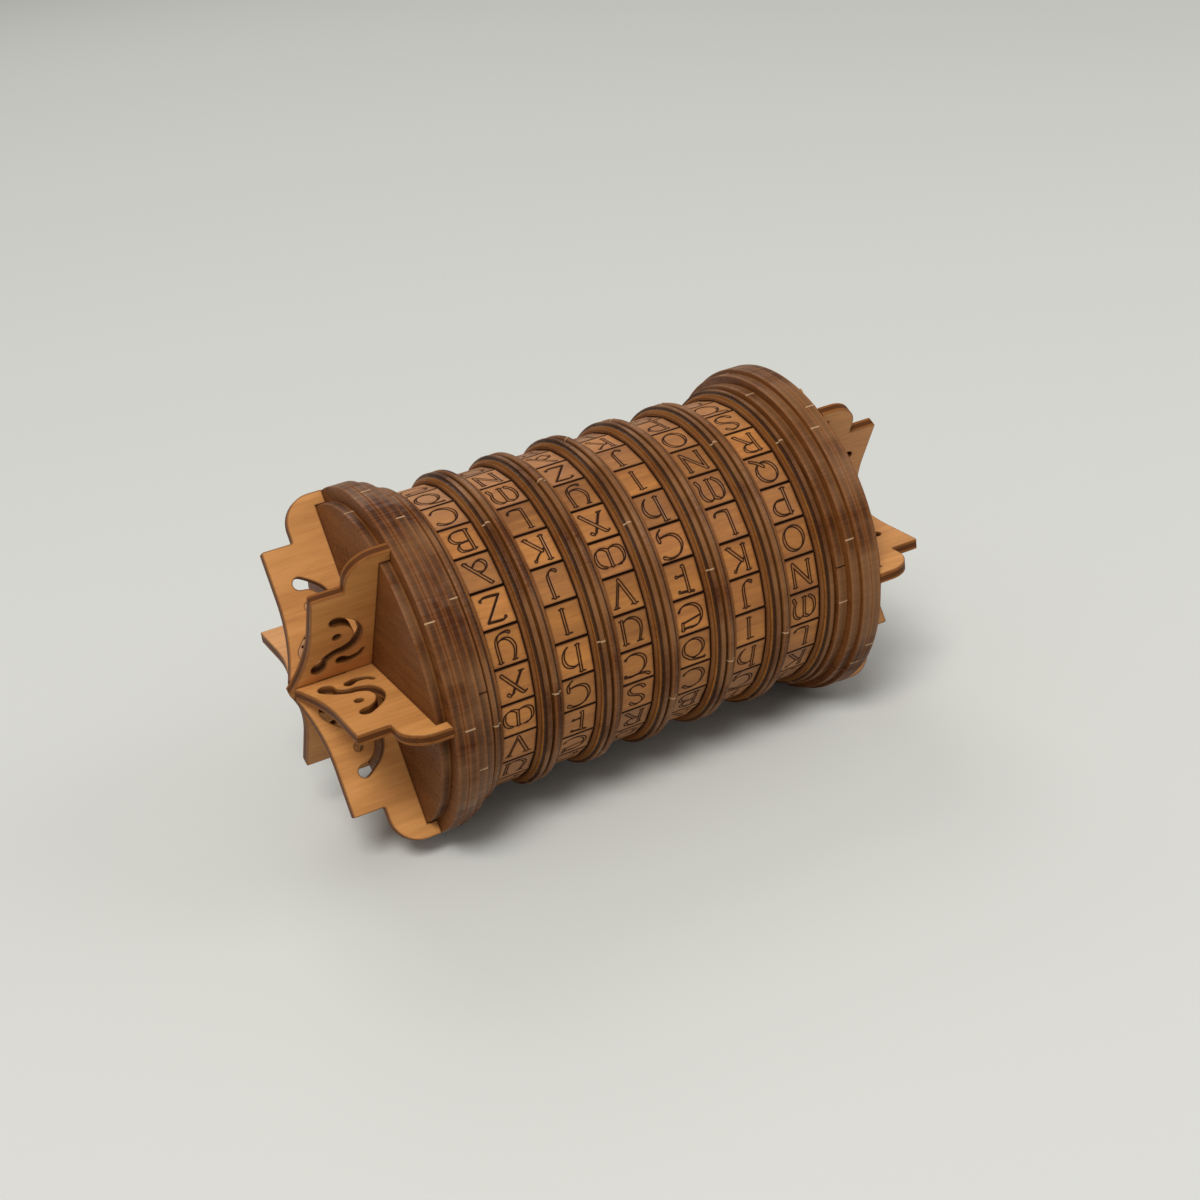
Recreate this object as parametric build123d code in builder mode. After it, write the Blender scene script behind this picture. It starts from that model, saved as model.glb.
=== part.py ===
# A cryptex: six turning letter rings on a square core, closed by a sliding drawer with a key rail.
# The long axis lies along X. The drawer and the left cap pull out towards -X. The part rests on its
# two caps with the lowest point of the rims at Z = 0.
import os

from build123d import *

os.makedirs("parts", exist_ok=True)

# ---- driving dimensions, in millimetres and degrees ----
PLY = 3.0  # plywood thickness
RING_COUNT = 6
RING_PITCH = 18.0
RING_GAP = 0.4  # between neighbouring rings
LETTERS = 26
FACET_APOTHEM = 42.8  # from the axis to the middle of a letter facet
BAND_BORE = 39.5
BAND_RIM_RADIUS = 44.0
BAND_RIM_WIDTH = 1.0
FLANGE_RADIUS = 45.8
FLANGE_WIDTH = 2.6
FLANGE_CREST = 1.8  # the width of a flange's high part, beside the gap between rings
FLANGE_ROUND = 1.0  # of the crest's edge at the gap
FLANGE_STEP_RADIUS = 44.95  # of the rest of it, against the letters
RIB_RADIUS = 35.7
RIB_PLAY = 0.3  # radial play of a flange on its rib

CAP_RADII = (46.6, 48.8, 50.0, 50.0, 46.0)  # from the rings outwards
CAP_GAP = 0.4  # between a cap and the nearest ring

CORE_HALF = 22.0  # half the outer width of the square core tube
CORE_SEAT = 2  # the number of cap discs that the core is let into
DRAWER_PLAY = 0.3
DRAWER_END_PLAY = 0.7

RAIL_DEPTH = 7.3  # of the key rail's spine, below the drawer's floor
TOOTH_RADIUS = 35.0
TOOTH_LENGTH = 3.0  # along the axis
TOOTH_PLAY = 0.7  # from a tooth to the gate in front of it
SLOT_PLAY = 0.4  # on each side of the rail
GATE_BORE = 32.0
NOTCH_RADIUS = 36.0
NOTCH_PLAY = 2.0  # on each side of a tooth
GLUE_LINE = 0.1

# Angles round the axis are counted from the front (-Y) towards the top (+Z).
INDEX_ANGLE = 7.0  # the reading line, cut as a small notch in the inner disc of each cap
KEY_ANGLE = -90.0  # the key rail stands straight down
GROOVE_ANGLES = (25.15, 26.69, 15.47, 13.65, 14.1, 14.6)  # one groove between facets on each ring
INDEX_NOTCH = 0.9

PLATE_ANGLES = (0, 60, 120)  # the three fretwork plates of a cap
PLATE_RADIUS = 50.0
PEAK_HEIGHT = 24.0
CROWN_HEIGHT = 18.6
CROWN_FLAT = 24.0  # where the flat of the crown starts, from the axis
STEP_RADIUS = 38.0
SHOULDER_HEIGHT = 9.5
SHOULDER_ROUND = 8.5
HOOK_BORE = 46.2
TAB_RADIUS = 24.0
TAB_WIDTH = 8.0
PLATE_SLOT = 5.3  # lets a 3 mm plate cross at 60 degrees

# ---- worked out from them ----
AXIS_Z = max(CAP_RADII)
RING_WIDTH = RING_PITCH - RING_GAP
BAND_WIDTH = RING_WIDTH - 2 * FLANGE_WIDTH
FLANGE_BORE = RIB_RADIUS + RIB_PLAY
STACK_HALF = RING_COUNT * RING_PITCH / 2 - RING_GAP / 2 + CAP_GAP  # where each cap starts
CAP_FACE = STACK_HALF + len(CAP_RADII) * PLY
RIB_HALF = FLANGE_WIDTH + RING_GAP / 2
FACET_STEP = 360 / LETTERS
CORE_END = STACK_HALF + CORE_SEAT * PLY
CORE_BORE = CORE_HALF - PLY
DRAWER_HALF = CORE_BORE - DRAWER_PLAY
TRAY_HALF = DRAWER_HALF - PLY
DRAWER_END = CORE_END - DRAWER_END_PLAY
SLOT_WIDTH = PLY + 2 * SLOT_PLAY
RAIL_END = STACK_HALF - PLY
RING_CENTRES = [(k - (RING_COUNT - 1) / 2) * RING_PITCH for k in range(RING_COUNT)]


def across(x):
    """The plane square to the long axis at x, with its own x along +Y and its own y up."""
    return Plane(origin=(x, 0, AXIS_Z), x_dir=(0, 1, 0), z_dir=(1, 0, 0))


def turn(angle):
    """An angle counted from the front towards the top, as an angle in an across() plane."""
    return 180 - angle


def save(piece, name):
    """Label a finished piece and write it."""
    piece.part.label = name
    export_step(piece.part, f"parts/{name}.step")


def panel(name, x_range, y_range, z_range):
    """A flat panel between six planes, with its heights counted from the axis."""
    x0, x1 = x_range
    y0, y1 = y_range
    with BuildPart() as board:
        with BuildSketch(Plane.XY.offset(AXIS_Z + z_range[0])):
            with Locations(((x0 + x1) / 2, (y0 + y1) / 2)):
                Rectangle(x1 - x0, y1 - y0)
        extrude(amount=z_range[1] - z_range[0])
    save(board, name)


# ---- letter rings ----
def flange(name, x, gap_side):
    """One side of a letter ring: a washer that turns on a guide rib. Its rim has a crest, rounded at
    the gap (gap_side is -1 when that is at x), and a lower step against the letters."""
    crest_start = x if gap_side < 0 else x + FLANGE_WIDTH - FLANGE_CREST
    with BuildPart() as washer:
        with BuildSketch(across(x)):
            Circle(FLANGE_STEP_RADIUS)
        extrude(amount=FLANGE_WIDTH)
        with BuildSketch(across(crest_start)):
            Circle(FLANGE_RADIUS)
        extrude(amount=FLANGE_CREST)
        crest_edges = washer.edges().filter_by(GeomType.CIRCLE).sort_by(SortBy.RADIUS)[-2:]
        fillet(crest_edges.sort_by(Axis.X)[0 if gap_side < 0 else -1], FLANGE_ROUND)
        with BuildSketch(across(x)):
            Circle(FLANGE_BORE)
        extrude(amount=FLANGE_WIDTH, mode=Mode.SUBTRACT)
    save(washer, name)


def letter_band(name, x, groove_angle):
    """The 26-sided letter band, with a low round rim along each edge."""
    with BuildPart() as band:
        with BuildSketch(across(x)):
            RegularPolygon(FACET_APOTHEM, LETTERS, major_radius=False, rotation=turn(groove_angle))
        extrude(amount=BAND_WIDTH)
        for start in (x, x + BAND_WIDTH - BAND_RIM_WIDTH):
            with BuildSketch(across(start)):
                Circle(BAND_RIM_RADIUS)
            extrude(amount=BAND_RIM_WIDTH)
        with BuildSketch(across(x)):
            Circle(BAND_BORE)
        extrude(amount=BAND_WIDTH, mode=Mode.SUBTRACT)
    save(band, name)


def gate(name, x, notch_angle):
    """A gate ring, glued in the band, with the one notch that lets a key tooth through."""
    with BuildPart() as ring:
        with BuildSketch(across(x)):
            Circle(BAND_BORE - GLUE_LINE)
            Circle(GATE_BORE, mode=Mode.SUBTRACT)
            with PolarLocations((GATE_BORE + NOTCH_RADIUS) / 2, 1, start_angle=turn(notch_angle)):
                Rectangle(
                    NOTCH_RADIUS - GATE_BORE + 2, PLY + 2 * NOTCH_PLAY, mode=Mode.SUBTRACT
                )
        extrude(amount=PLY)
    save(ring, name)


def letter_misfit(groove_angle):
    """How far the nearest letter's middle stands from the reading line."""
    middle = groove_angle - FACET_STEP / 2
    return (middle - INDEX_ANGLE + FACET_STEP / 2) % FACET_STEP - FACET_STEP / 2


for number, (centre, groove_angle) in enumerate(zip(RING_CENTRES, GROOVE_ANGLES), 1):
    left = centre - RING_WIDTH / 2
    flange(f"ring_{number}_left_flange", left, -1)
    letter_band(f"ring_{number}_letter_band", left + FLANGE_WIDTH, groove_angle)
    flange(f"ring_{number}_right_flange", left + FLANGE_WIDTH + BAND_WIDTH, 1)
    gate(f"ring_{number}_gate", centre - PLY / 2, KEY_ANGLE + letter_misfit(groove_angle))


# ---- core and guide ribs, fixed in the right cap ----
core_span = (-STACK_HALF + GLUE_LINE, CORE_END)
panel("core_top_panel", core_span, (-CORE_HALF, CORE_HALF), (CORE_BORE, CORE_HALF))
panel("core_front_panel", core_span, (-CORE_HALF, -CORE_BORE), (-CORE_BORE, CORE_BORE))
panel("core_back_panel", core_span, (CORE_BORE, CORE_HALF), (-CORE_BORE, CORE_BORE))

with BuildPart() as core_bottom:
    with BuildSketch(Plane.XY.offset(AXIS_Z - CORE_HALF)):
        with Locations((sum(core_span) / 2, 0)):
            Rectangle(core_span[1] - core_span[0], 2 * CORE_HALF)
        with Locations((core_span[0], 0)):
            Rectangle(
                STACK_HALF - core_span[0], SLOT_WIDTH, align=(Align.MIN, Align.CENTER), mode=Mode.SUBTRACT
            )
    extrude(amount=PLY)
save(core_bottom, "core_bottom_panel")


def guide_rib(name, x0, x1):
    """A round disc with a square hole for the core and a notch below for the key rail."""
    with BuildPart() as rib:
        with BuildSketch(across(x0)):
            Circle(RIB_RADIUS)
            Rectangle(2 * CORE_HALF, 2 * CORE_HALF, mode=Mode.SUBTRACT)
            with Locations((0, -RIB_RADIUS)):
                Rectangle(SLOT_WIDTH, RIB_RADIUS, mode=Mode.SUBTRACT)
        extrude(amount=x1 - x0)
    save(rib, name)


for number in range(RING_COUNT + 1):
    edge = (number - RING_COUNT / 2) * RING_PITCH
    guide_rib(
        f"guide_rib_{number + 1}",
        max(edge - RIB_HALF, core_span[0]),
        min(edge + RIB_HALF, STACK_HALF),
    )


# ---- end caps ----
def cap_disc(name, side, layer):
    """One disc of a cap. The inner ones are cut out square for the core or the drawer, and the outer
    one is slotted for the tabs of the fretwork plates."""
    seats = {1: (CORE_SEAT, CORE_HALF), -1: (1, DRAWER_HALF)}
    seat_depth, seat_half = seats[side]
    outer = layer == len(CAP_RADII) - 1
    with BuildPart() as disc:
        with BuildSketch(across(side * (STACK_HALF + layer * PLY))):
            Circle(CAP_RADII[layer])
            if layer < seat_depth:
                Rectangle(2 * seat_half, 2 * seat_half, mode=Mode.SUBTRACT)
            if layer == 0:
                with PolarLocations(CAP_RADII[layer], 1, start_angle=turn(INDEX_ANGLE)):
                    Rectangle(INDEX_NOTCH, INDEX_NOTCH, rotation=45, mode=Mode.SUBTRACT)
            if outer:
                for angle in PLATE_ANGLES:
                    with PolarLocations(TAB_RADIUS, 2, start_angle=angle):
                        Rectangle(
                            TAB_WIDTH + GLUE_LINE, PLY + GLUE_LINE, mode=Mode.SUBTRACT
                        )
        extrude(amount=side * PLY)
    save(disc, name)


for layer in range(len(CAP_RADII)):
    cap_disc(f"left_cap_disc_{layer + 1}", -1, layer)
    cap_disc(f"right_cap_disc_{layer + 1}", 1, layer)


# ---- fretwork plates ----
def half_outline(sign):
    """One half of a plate's edge, from the peak on the axis, over the crown, the step and the round
    shoulder, to the hook that grips the outer disc's rim, and back to the axis along the cap."""
    crown_radius = (CROWN_FLAT**2 + (PEAK_HEIGHT - CROWN_HEIGHT) ** 2) / (
        2 * (PEAK_HEIGHT - CROWN_HEIGHT)
    )
    middle = CROWN_FLAT / 2
    dip = CROWN_HEIGHT + crown_radius - (crown_radius**2 - middle**2) ** 0.5
    shoulder_start = PLATE_RADIUS - SHOULDER_ROUND
    shoulder_end = SHOULDER_HEIGHT - SHOULDER_ROUND
    bow = SHOULDER_ROUND * 0.5**0.5
    ThreePointArc(
        (0, PEAK_HEIGHT), (sign * (CROWN_FLAT - middle), dip), (sign * CROWN_FLAT, CROWN_HEIGHT)
    )
    Polyline(
        (sign * CROWN_FLAT, CROWN_HEIGHT),
        (sign * STEP_RADIUS, CROWN_HEIGHT),
        (sign * STEP_RADIUS, SHOULDER_HEIGHT),
        (sign * shoulder_start, SHOULDER_HEIGHT),
    )
    ThreePointArc(
        (sign * shoulder_start, SHOULDER_HEIGHT),
        (sign * (shoulder_start + bow), shoulder_end + bow),
        (sign * PLATE_RADIUS, shoulder_end),
    )
    Polyline(
        (sign * PLATE_RADIUS, shoulder_end),
        (sign * PLATE_RADIUS, -PLY),
        (sign * HOOK_BORE, -PLY),
        (sign * HOOK_BORE, 0),
        (0, 0),
    )


def scroll_cuts(sign):
    """The pierced ornament of one half: an S scroll between two round eyes, a comma and a bead."""
    for start, bend, end, width in (
        ((7.0, 6.5), (12.8, 7.2), (11.8, 12.2), 2.6),
        ((11.8, 12.2), (12.0, 16.2), (17.0, 16.0), 2.6),
        ((21.5, 7.0), (25.6, 6.6), (27.6, 10.8), 2.2),
        ((30.5, 15.4), (33.6, 12.6), (32.6, 8.4), 2.0),
    ):
        with BuildLine(mode=Mode.PRIVATE):
            curl = ThreePointArc(*[(sign * u, v) for u, v in (start, bend, end)])
        SlotArc(curl, width, mode=Mode.SUBTRACT)
    for u, v, radius in ((7.4, 7.6, 2.1), (16.6, 14.9, 2.1), (21.8, 8.0, 1.7), (19.4, 4.2, 1.0)):
        with Locations((sign * u, v)):
            Circle(radius, mode=Mode.SUBTRACT)


def fretwork_plate(name, side, order):
    """One of the three crossing plates. A third of its height is left whole on the axis, a different
    third in each plate, and the rest is slotted so that the three pass through each other."""
    angle = PLATE_ANGLES[order]
    outwards = Vector(0, 1, 0).rotate(Axis.X, angle)
    standing = Plane(
        origin=(side * CAP_FACE, 0, AXIS_Z),
        x_dir=outwards,
        z_dir=outwards.cross(Vector(side, 0, 0)),
    )
    third = PEAK_HEIGHT / 3
    with BuildPart() as plate:
        with BuildSketch(standing):
            with BuildLine():
                half_outline(1)
                half_outline(-1)
            make_face()
            for sign in (1, -1):
                scroll_cuts(sign)
                with Locations((sign * TAB_RADIUS, -PLY / 2)):
                    Rectangle(TAB_WIDTH, PLY)
            for slot in range(3):
                if slot != order:
                    with Locations((0, (slot + 0.5) * third)):
                        Rectangle(PLATE_SLOT, third + GLUE_LINE, mode=Mode.SUBTRACT)
        extrude(amount=PLY / 2, both=True)
    save(plate, name)


for order in range(len(PLATE_ANGLES)):
    fretwork_plate(f"left_fretwork_plate_{order + 1}", -1, order)
    fretwork_plate(f"right_fretwork_plate_{order + 1}", 1, order)


# ---- drawer and key rail, fixed to the left cap ----
drawer_start = -STACK_HALF - PLY
tray_end = DRAWER_END - PLY
walls_height = (-DRAWER_HALF, DRAWER_HALF)
panel("drawer_floor", (drawer_start, tray_end), (-TRAY_HALF, TRAY_HALF), (-DRAWER_HALF, -TRAY_HALF))
panel("drawer_front_wall", (drawer_start, tray_end), (-DRAWER_HALF, -TRAY_HALF), walls_height)
panel("drawer_back_wall", (drawer_start, tray_end), (TRAY_HALF, DRAWER_HALF), walls_height)
panel("drawer_end_wall", (tray_end, DRAWER_END), (-DRAWER_HALF, DRAWER_HALF), walls_height)
panel(
    "key_rail",
    (-STACK_HALF, RAIL_END),
    (-PLY / 2, PLY / 2),
    (-DRAWER_HALF - RAIL_DEPTH, -DRAWER_HALF),
)

with BuildPart() as key_teeth:
    for centre in RING_CENTRES:
        with BuildSketch(Plane.XY.offset(AXIS_Z - TOOTH_RADIUS)):
            with Locations((centre + PLY / 2 + TOOTH_PLAY, 0)):
                Rectangle(TOOTH_LENGTH, PLY, align=(Align.MIN, Align.CENTER))
        extrude(amount=TOOTH_RADIUS - DRAWER_HALF - RAIL_DEPTH)
save(key_teeth, "key_teeth")
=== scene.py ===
import math

import bpy
import numpy as np
from mathutils import Matrix, Vector
from mathutils.geometry import tessellate_polygon


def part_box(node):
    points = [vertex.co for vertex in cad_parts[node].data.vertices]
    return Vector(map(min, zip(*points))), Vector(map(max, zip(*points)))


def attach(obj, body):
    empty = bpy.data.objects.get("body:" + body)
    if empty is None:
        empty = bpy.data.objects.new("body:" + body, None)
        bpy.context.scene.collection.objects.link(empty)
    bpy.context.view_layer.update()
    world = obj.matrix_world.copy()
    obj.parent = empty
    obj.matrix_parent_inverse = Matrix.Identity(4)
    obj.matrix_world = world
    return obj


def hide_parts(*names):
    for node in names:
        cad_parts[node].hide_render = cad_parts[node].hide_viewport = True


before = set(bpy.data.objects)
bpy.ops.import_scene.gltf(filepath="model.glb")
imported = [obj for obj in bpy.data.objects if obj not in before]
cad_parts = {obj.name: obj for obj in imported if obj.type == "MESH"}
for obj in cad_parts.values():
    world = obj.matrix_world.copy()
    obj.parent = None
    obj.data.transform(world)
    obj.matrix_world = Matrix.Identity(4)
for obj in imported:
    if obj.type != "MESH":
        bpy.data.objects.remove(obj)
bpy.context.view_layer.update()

# A wooden cryptex, in metres. It lies along X with its front towards -Y. Angles round the long axis
# are counted from the front towards the top.
MM = 0.001
LETTERS = 26
FACET_STEP = 2 * math.pi / LETTERS

# Each ring is turned as it was left: the angle of one groove between its facets, in degrees, and the
# letter on the facet just below that groove.
RING_TURNS = ((25.15, "Y"), (26.69, "I"), (15.47, "U"), (13.65, "E"), (14.1, "J"), (14.6, "N"))
INDEX_ANGLE = 7.0

FACET_SINK = 1.2 * MM  # the facets' middles lie this far below the band's rims
RIM_WIDTH = 1.0 * MM
GROOVE_HALF = 0.42 * MM  # of the cut between two facets
GROOVE_DEPTH = 0.75 * MM
EASE = 0.3 * MM  # the rounding of a sanded edge
TAB_HALF = 0.18 * MM  # a cut-off holding tab left on an edge
TAB_HEIGHT = 0.12 * MM
PLATE_ANGLES = (0, 60, 120)

PEN_ANGLE = math.radians(28)
PEN_THIN, PEN_THICK = 0.04, 0.42  # half the pen's stroke, in millimetres
LINE_HALF = 0.17 * MM  # of an engraved line
LINE_DEPTH = 0.15 * MM


def span(node):
    """Where a round node starts and ends along the axis, and its radius, read from the frame."""
    low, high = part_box(node)
    return low.x, high.x, (high.y - low.y) / 2


AXIS_Z = sum(corner.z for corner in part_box("right_cap_disc_3")) / 2


def place(x, radius, angle):
    """Points at x along the axis, at a radius, at an angle from the front towards the top."""
    x, radius, angle = np.broadcast_arrays(x, radius, angle)
    return np.stack([x, -radius * np.cos(angle), AXIS_Z + radius * np.sin(angle)], -1)


# ---- meshes ----
def enclosed_volume(mesh):
    """The volume inside a closed mesh, negative when its faces look inwards: a sixth of the sum of each
    triangle's triple product."""
    mesh.calc_loop_triangles()
    corners = np.empty(len(mesh.loop_triangles) * 3, np.int32)
    mesh.loop_triangles.foreach_get("vertices", corners)
    points = np.empty(len(mesh.vertices) * 3, np.float64)
    mesh.vertices.foreach_get("co", points)
    a, b, c = points.reshape(-1, 3)[corners.reshape(-1, 3)].transpose(1, 0, 2)
    return np.einsum("ij,ij->", a, np.cross(b, c)) / 6


def finish_piece(name, points, faces, values, body, material, nodes=()):
    """Make one object from points and faces, turned outwards, with its values as attributes, parent it
    to what it rides on, give it its material and hide the nodes it stands for."""
    mesh = bpy.data.meshes.new(name)
    mesh.from_pydata(points.tolist(), [], faces if isinstance(faces, list) else faces.tolist())
    if enclosed_volume(mesh) < 0:
        mesh.flip_normals()
    for key, value in values.items():
        layer = mesh.attributes.new(key, "FLOAT", "POINT")
        layer.data.foreach_set("value", np.ascontiguousarray(value, np.float32).ravel())
    mesh.shade_smooth()
    mesh.set_sharp_from_angle(angle=math.radians(32))
    mesh.materials.append(material)
    piece = bpy.data.objects.new(name, mesh)
    bpy.context.scene.collection.objects.link(piece)
    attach(piece, body)
    if nodes:
        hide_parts(*nodes)
    return piece


def grid_faces(rows, columns, wrap_rows=True, wrap_columns=True):
    """The quads of a grid of points, joined round on itself where asked."""
    r = np.arange(rows if wrap_rows else rows - 1)[:, None]
    c = np.arange(columns if wrap_columns else columns - 1)[None, :]
    r_next, c_next = (r + 1) % rows, (c + 1) % columns
    corners = (r * columns + c, r * columns + c_next, r_next * columns + c_next, r_next * columns + c)
    return np.stack([np.broadcast_to(k, (r.size, c.size)) for k in corners], -1).reshape(-1, 4)


def round_columns(count, marks, half_angle):
    """Angles once round, evenly spaced, with close extra ones at each mark for crisp sides."""
    even = np.arange(count) * 2 * math.pi / count
    close = [mark + half_angle * k for mark in marks for k in (-1.5, -1, 1, 1.5)]
    return np.unique(np.round(np.mod(np.concatenate([even, close]), 2 * math.pi), 6))


def mark_weight(angles, marks, half_angle):
    """1 within half_angle of a mark, falling to 0 at one and a half times that."""
    weight = np.zeros_like(angles)
    for mark in marks:
        away = np.abs((angles - mark + math.pi) % (2 * math.pi) - math.pi)
        weight = np.maximum(weight, np.clip(3 - 2 * away / half_angle, 0, 1))
    return weight


def turned(name, x0, x1, edge, bore, body, material, node, tabs=(), notch=None):
    """A flat round piece turned about the axis. edge is its outer outline as (x, radius) points. bore
    is 0 for a full disc, a radius, or a function that gives the radius at each angle, as for a square
    hole. A full disc is closed by a flat middle. The rim is sanded back by the height of the small
    stubs that stay proud at the angles in tabs; notch is the angle of a small cut."""
    outer = max(radius for _, radius in edge)
    marks = [math.radians(a) for a in tabs]
    notch_marks = [] if notch is None else [math.radians(notch)]
    angles = round_columns(288, marks + notch_marks, TAB_HALF / outer)
    solid = not callable(bore) and bore == 0
    inner = bore(angles) if callable(bore) else np.full_like(angles, outer / 8 if solid else bore)
    bump = mark_weight(angles, marks, TAB_HALF / outer) - 5 * mark_weight(
        angles, notch_marks, TAB_HALF / outer
    )
    x_edge, r_edge = np.array(edge).T
    radius = r_edge[:, None] + TAB_HEIGHT * (bump[None, :] - 1)
    halfway = (inner + outer) / 2
    radius = np.concatenate([[inner, halfway], radius, [halfway, inner]])
    x = np.concatenate([[x0, x0], x_edge, [x1, x1]])
    points = place(x[:, None], radius, angles[None, :])
    layer = np.clip((x - x0) / (x1 - x0), 0, 1)
    side = np.concatenate([[0, 0], np.ones_like(x_edge), [0, 0]])
    side[[2, -3]] = 0
    # rows where the outline bends: their corners are painted paler, partly wear and partly a painted
    # highlight where they catch the light
    wear_and_highlight = np.clip((r_edge - np.roll(r_edge, 1)) ** 2 + (np.roll(r_edge, -1) - r_edge) ** 2, 0, None)
    wear_and_highlight = np.concatenate([[0, 0], (wear_and_highlight > (0.02 * MM) ** 2).astype(float), [0, 0]])
    shape = radius.shape
    values = {
        "layer": np.broadcast_to(layer[:, None], shape),
        "side": np.broadcast_to(side[:, None], shape),
        "wear_and_highlight": np.broadcast_to(wear_and_highlight[:, None], shape),
        "tab": np.broadcast_to(side[:, None] * np.clip(bump, 0, 1)[None, :], shape),
        # painted shade: darker the further a row lies below the crest, in the gap between rings and on
        # the lower step
        "painted_recess_shade": np.clip((outer - TAB_HEIGHT - 0.12 * MM - radius) / (0.7 * MM), 0, 1),
    }
    faces = grid_faces(*shape, wrap_rows=not solid).tolist()
    if solid:
        last = (shape[0] - 1) * shape[1]
        faces += [list(range(shape[1]))[::-1], list(range(last, last + shape[1]))]
    return finish_piece(
        name, points.reshape(-1, 3), faces, values, body, material, [node]
    )


# ---- letters: pen strokes in millimetres from the facet's middle, as (across, up, half width) ----
def curve(*points):
    """A smooth pen stroke through some points: Catmull-Rom between each two, with its half width thick
    where it crosses the pen's nib and thin where it runs along it."""
    known = np.array(points, float)
    ends = 2 * known[[0, -1]] - known[[1, -2]]
    p = np.vstack([ends[:1], known, ends[1:]])
    t = np.linspace(0, 1, 7)[:-1, None]
    before, start, end, after = (p[k : len(p) - 3 + k, None] for k in range(4))
    slope = end - before
    square = 2 * before - 5 * start + 4 * end - after
    cube = 3 * start - before - 3 * end + after
    bends = 0.5 * (2 * start + slope * t + square * t**2 + cube * t**3)
    path = np.vstack([bends.reshape(-1, 2), known[-1:]]) if len(known) > 2 else known
    run = np.gradient(path, axis=0)
    run /= np.linalg.norm(run, axis=1, keepdims=True)
    crossing = np.abs(run[:, 0] * math.sin(PEN_ANGLE) - run[:, 1] * math.cos(PEN_ANGLE))
    return np.column_stack([path, PEN_THIN + (PEN_THICK - PEN_THIN) * crossing**1.5])


def oval(x, y, wide, high):
    """A closed round stroke."""
    t = np.linspace(0, 2 * math.pi, 13)
    return curve(*zip(x + wide * np.cos(t), y + high * np.sin(t)))


def dot(x, y, radius=0.3):
    """A round blot that ends a thin stroke."""
    return np.array([(x, y, radius), (x + 0.01, y, radius)])


def serif(x0, x1, y):
    """A level hairline."""
    return np.array([(x0, y, 0.03), (x1, y, 0.03)])


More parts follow.
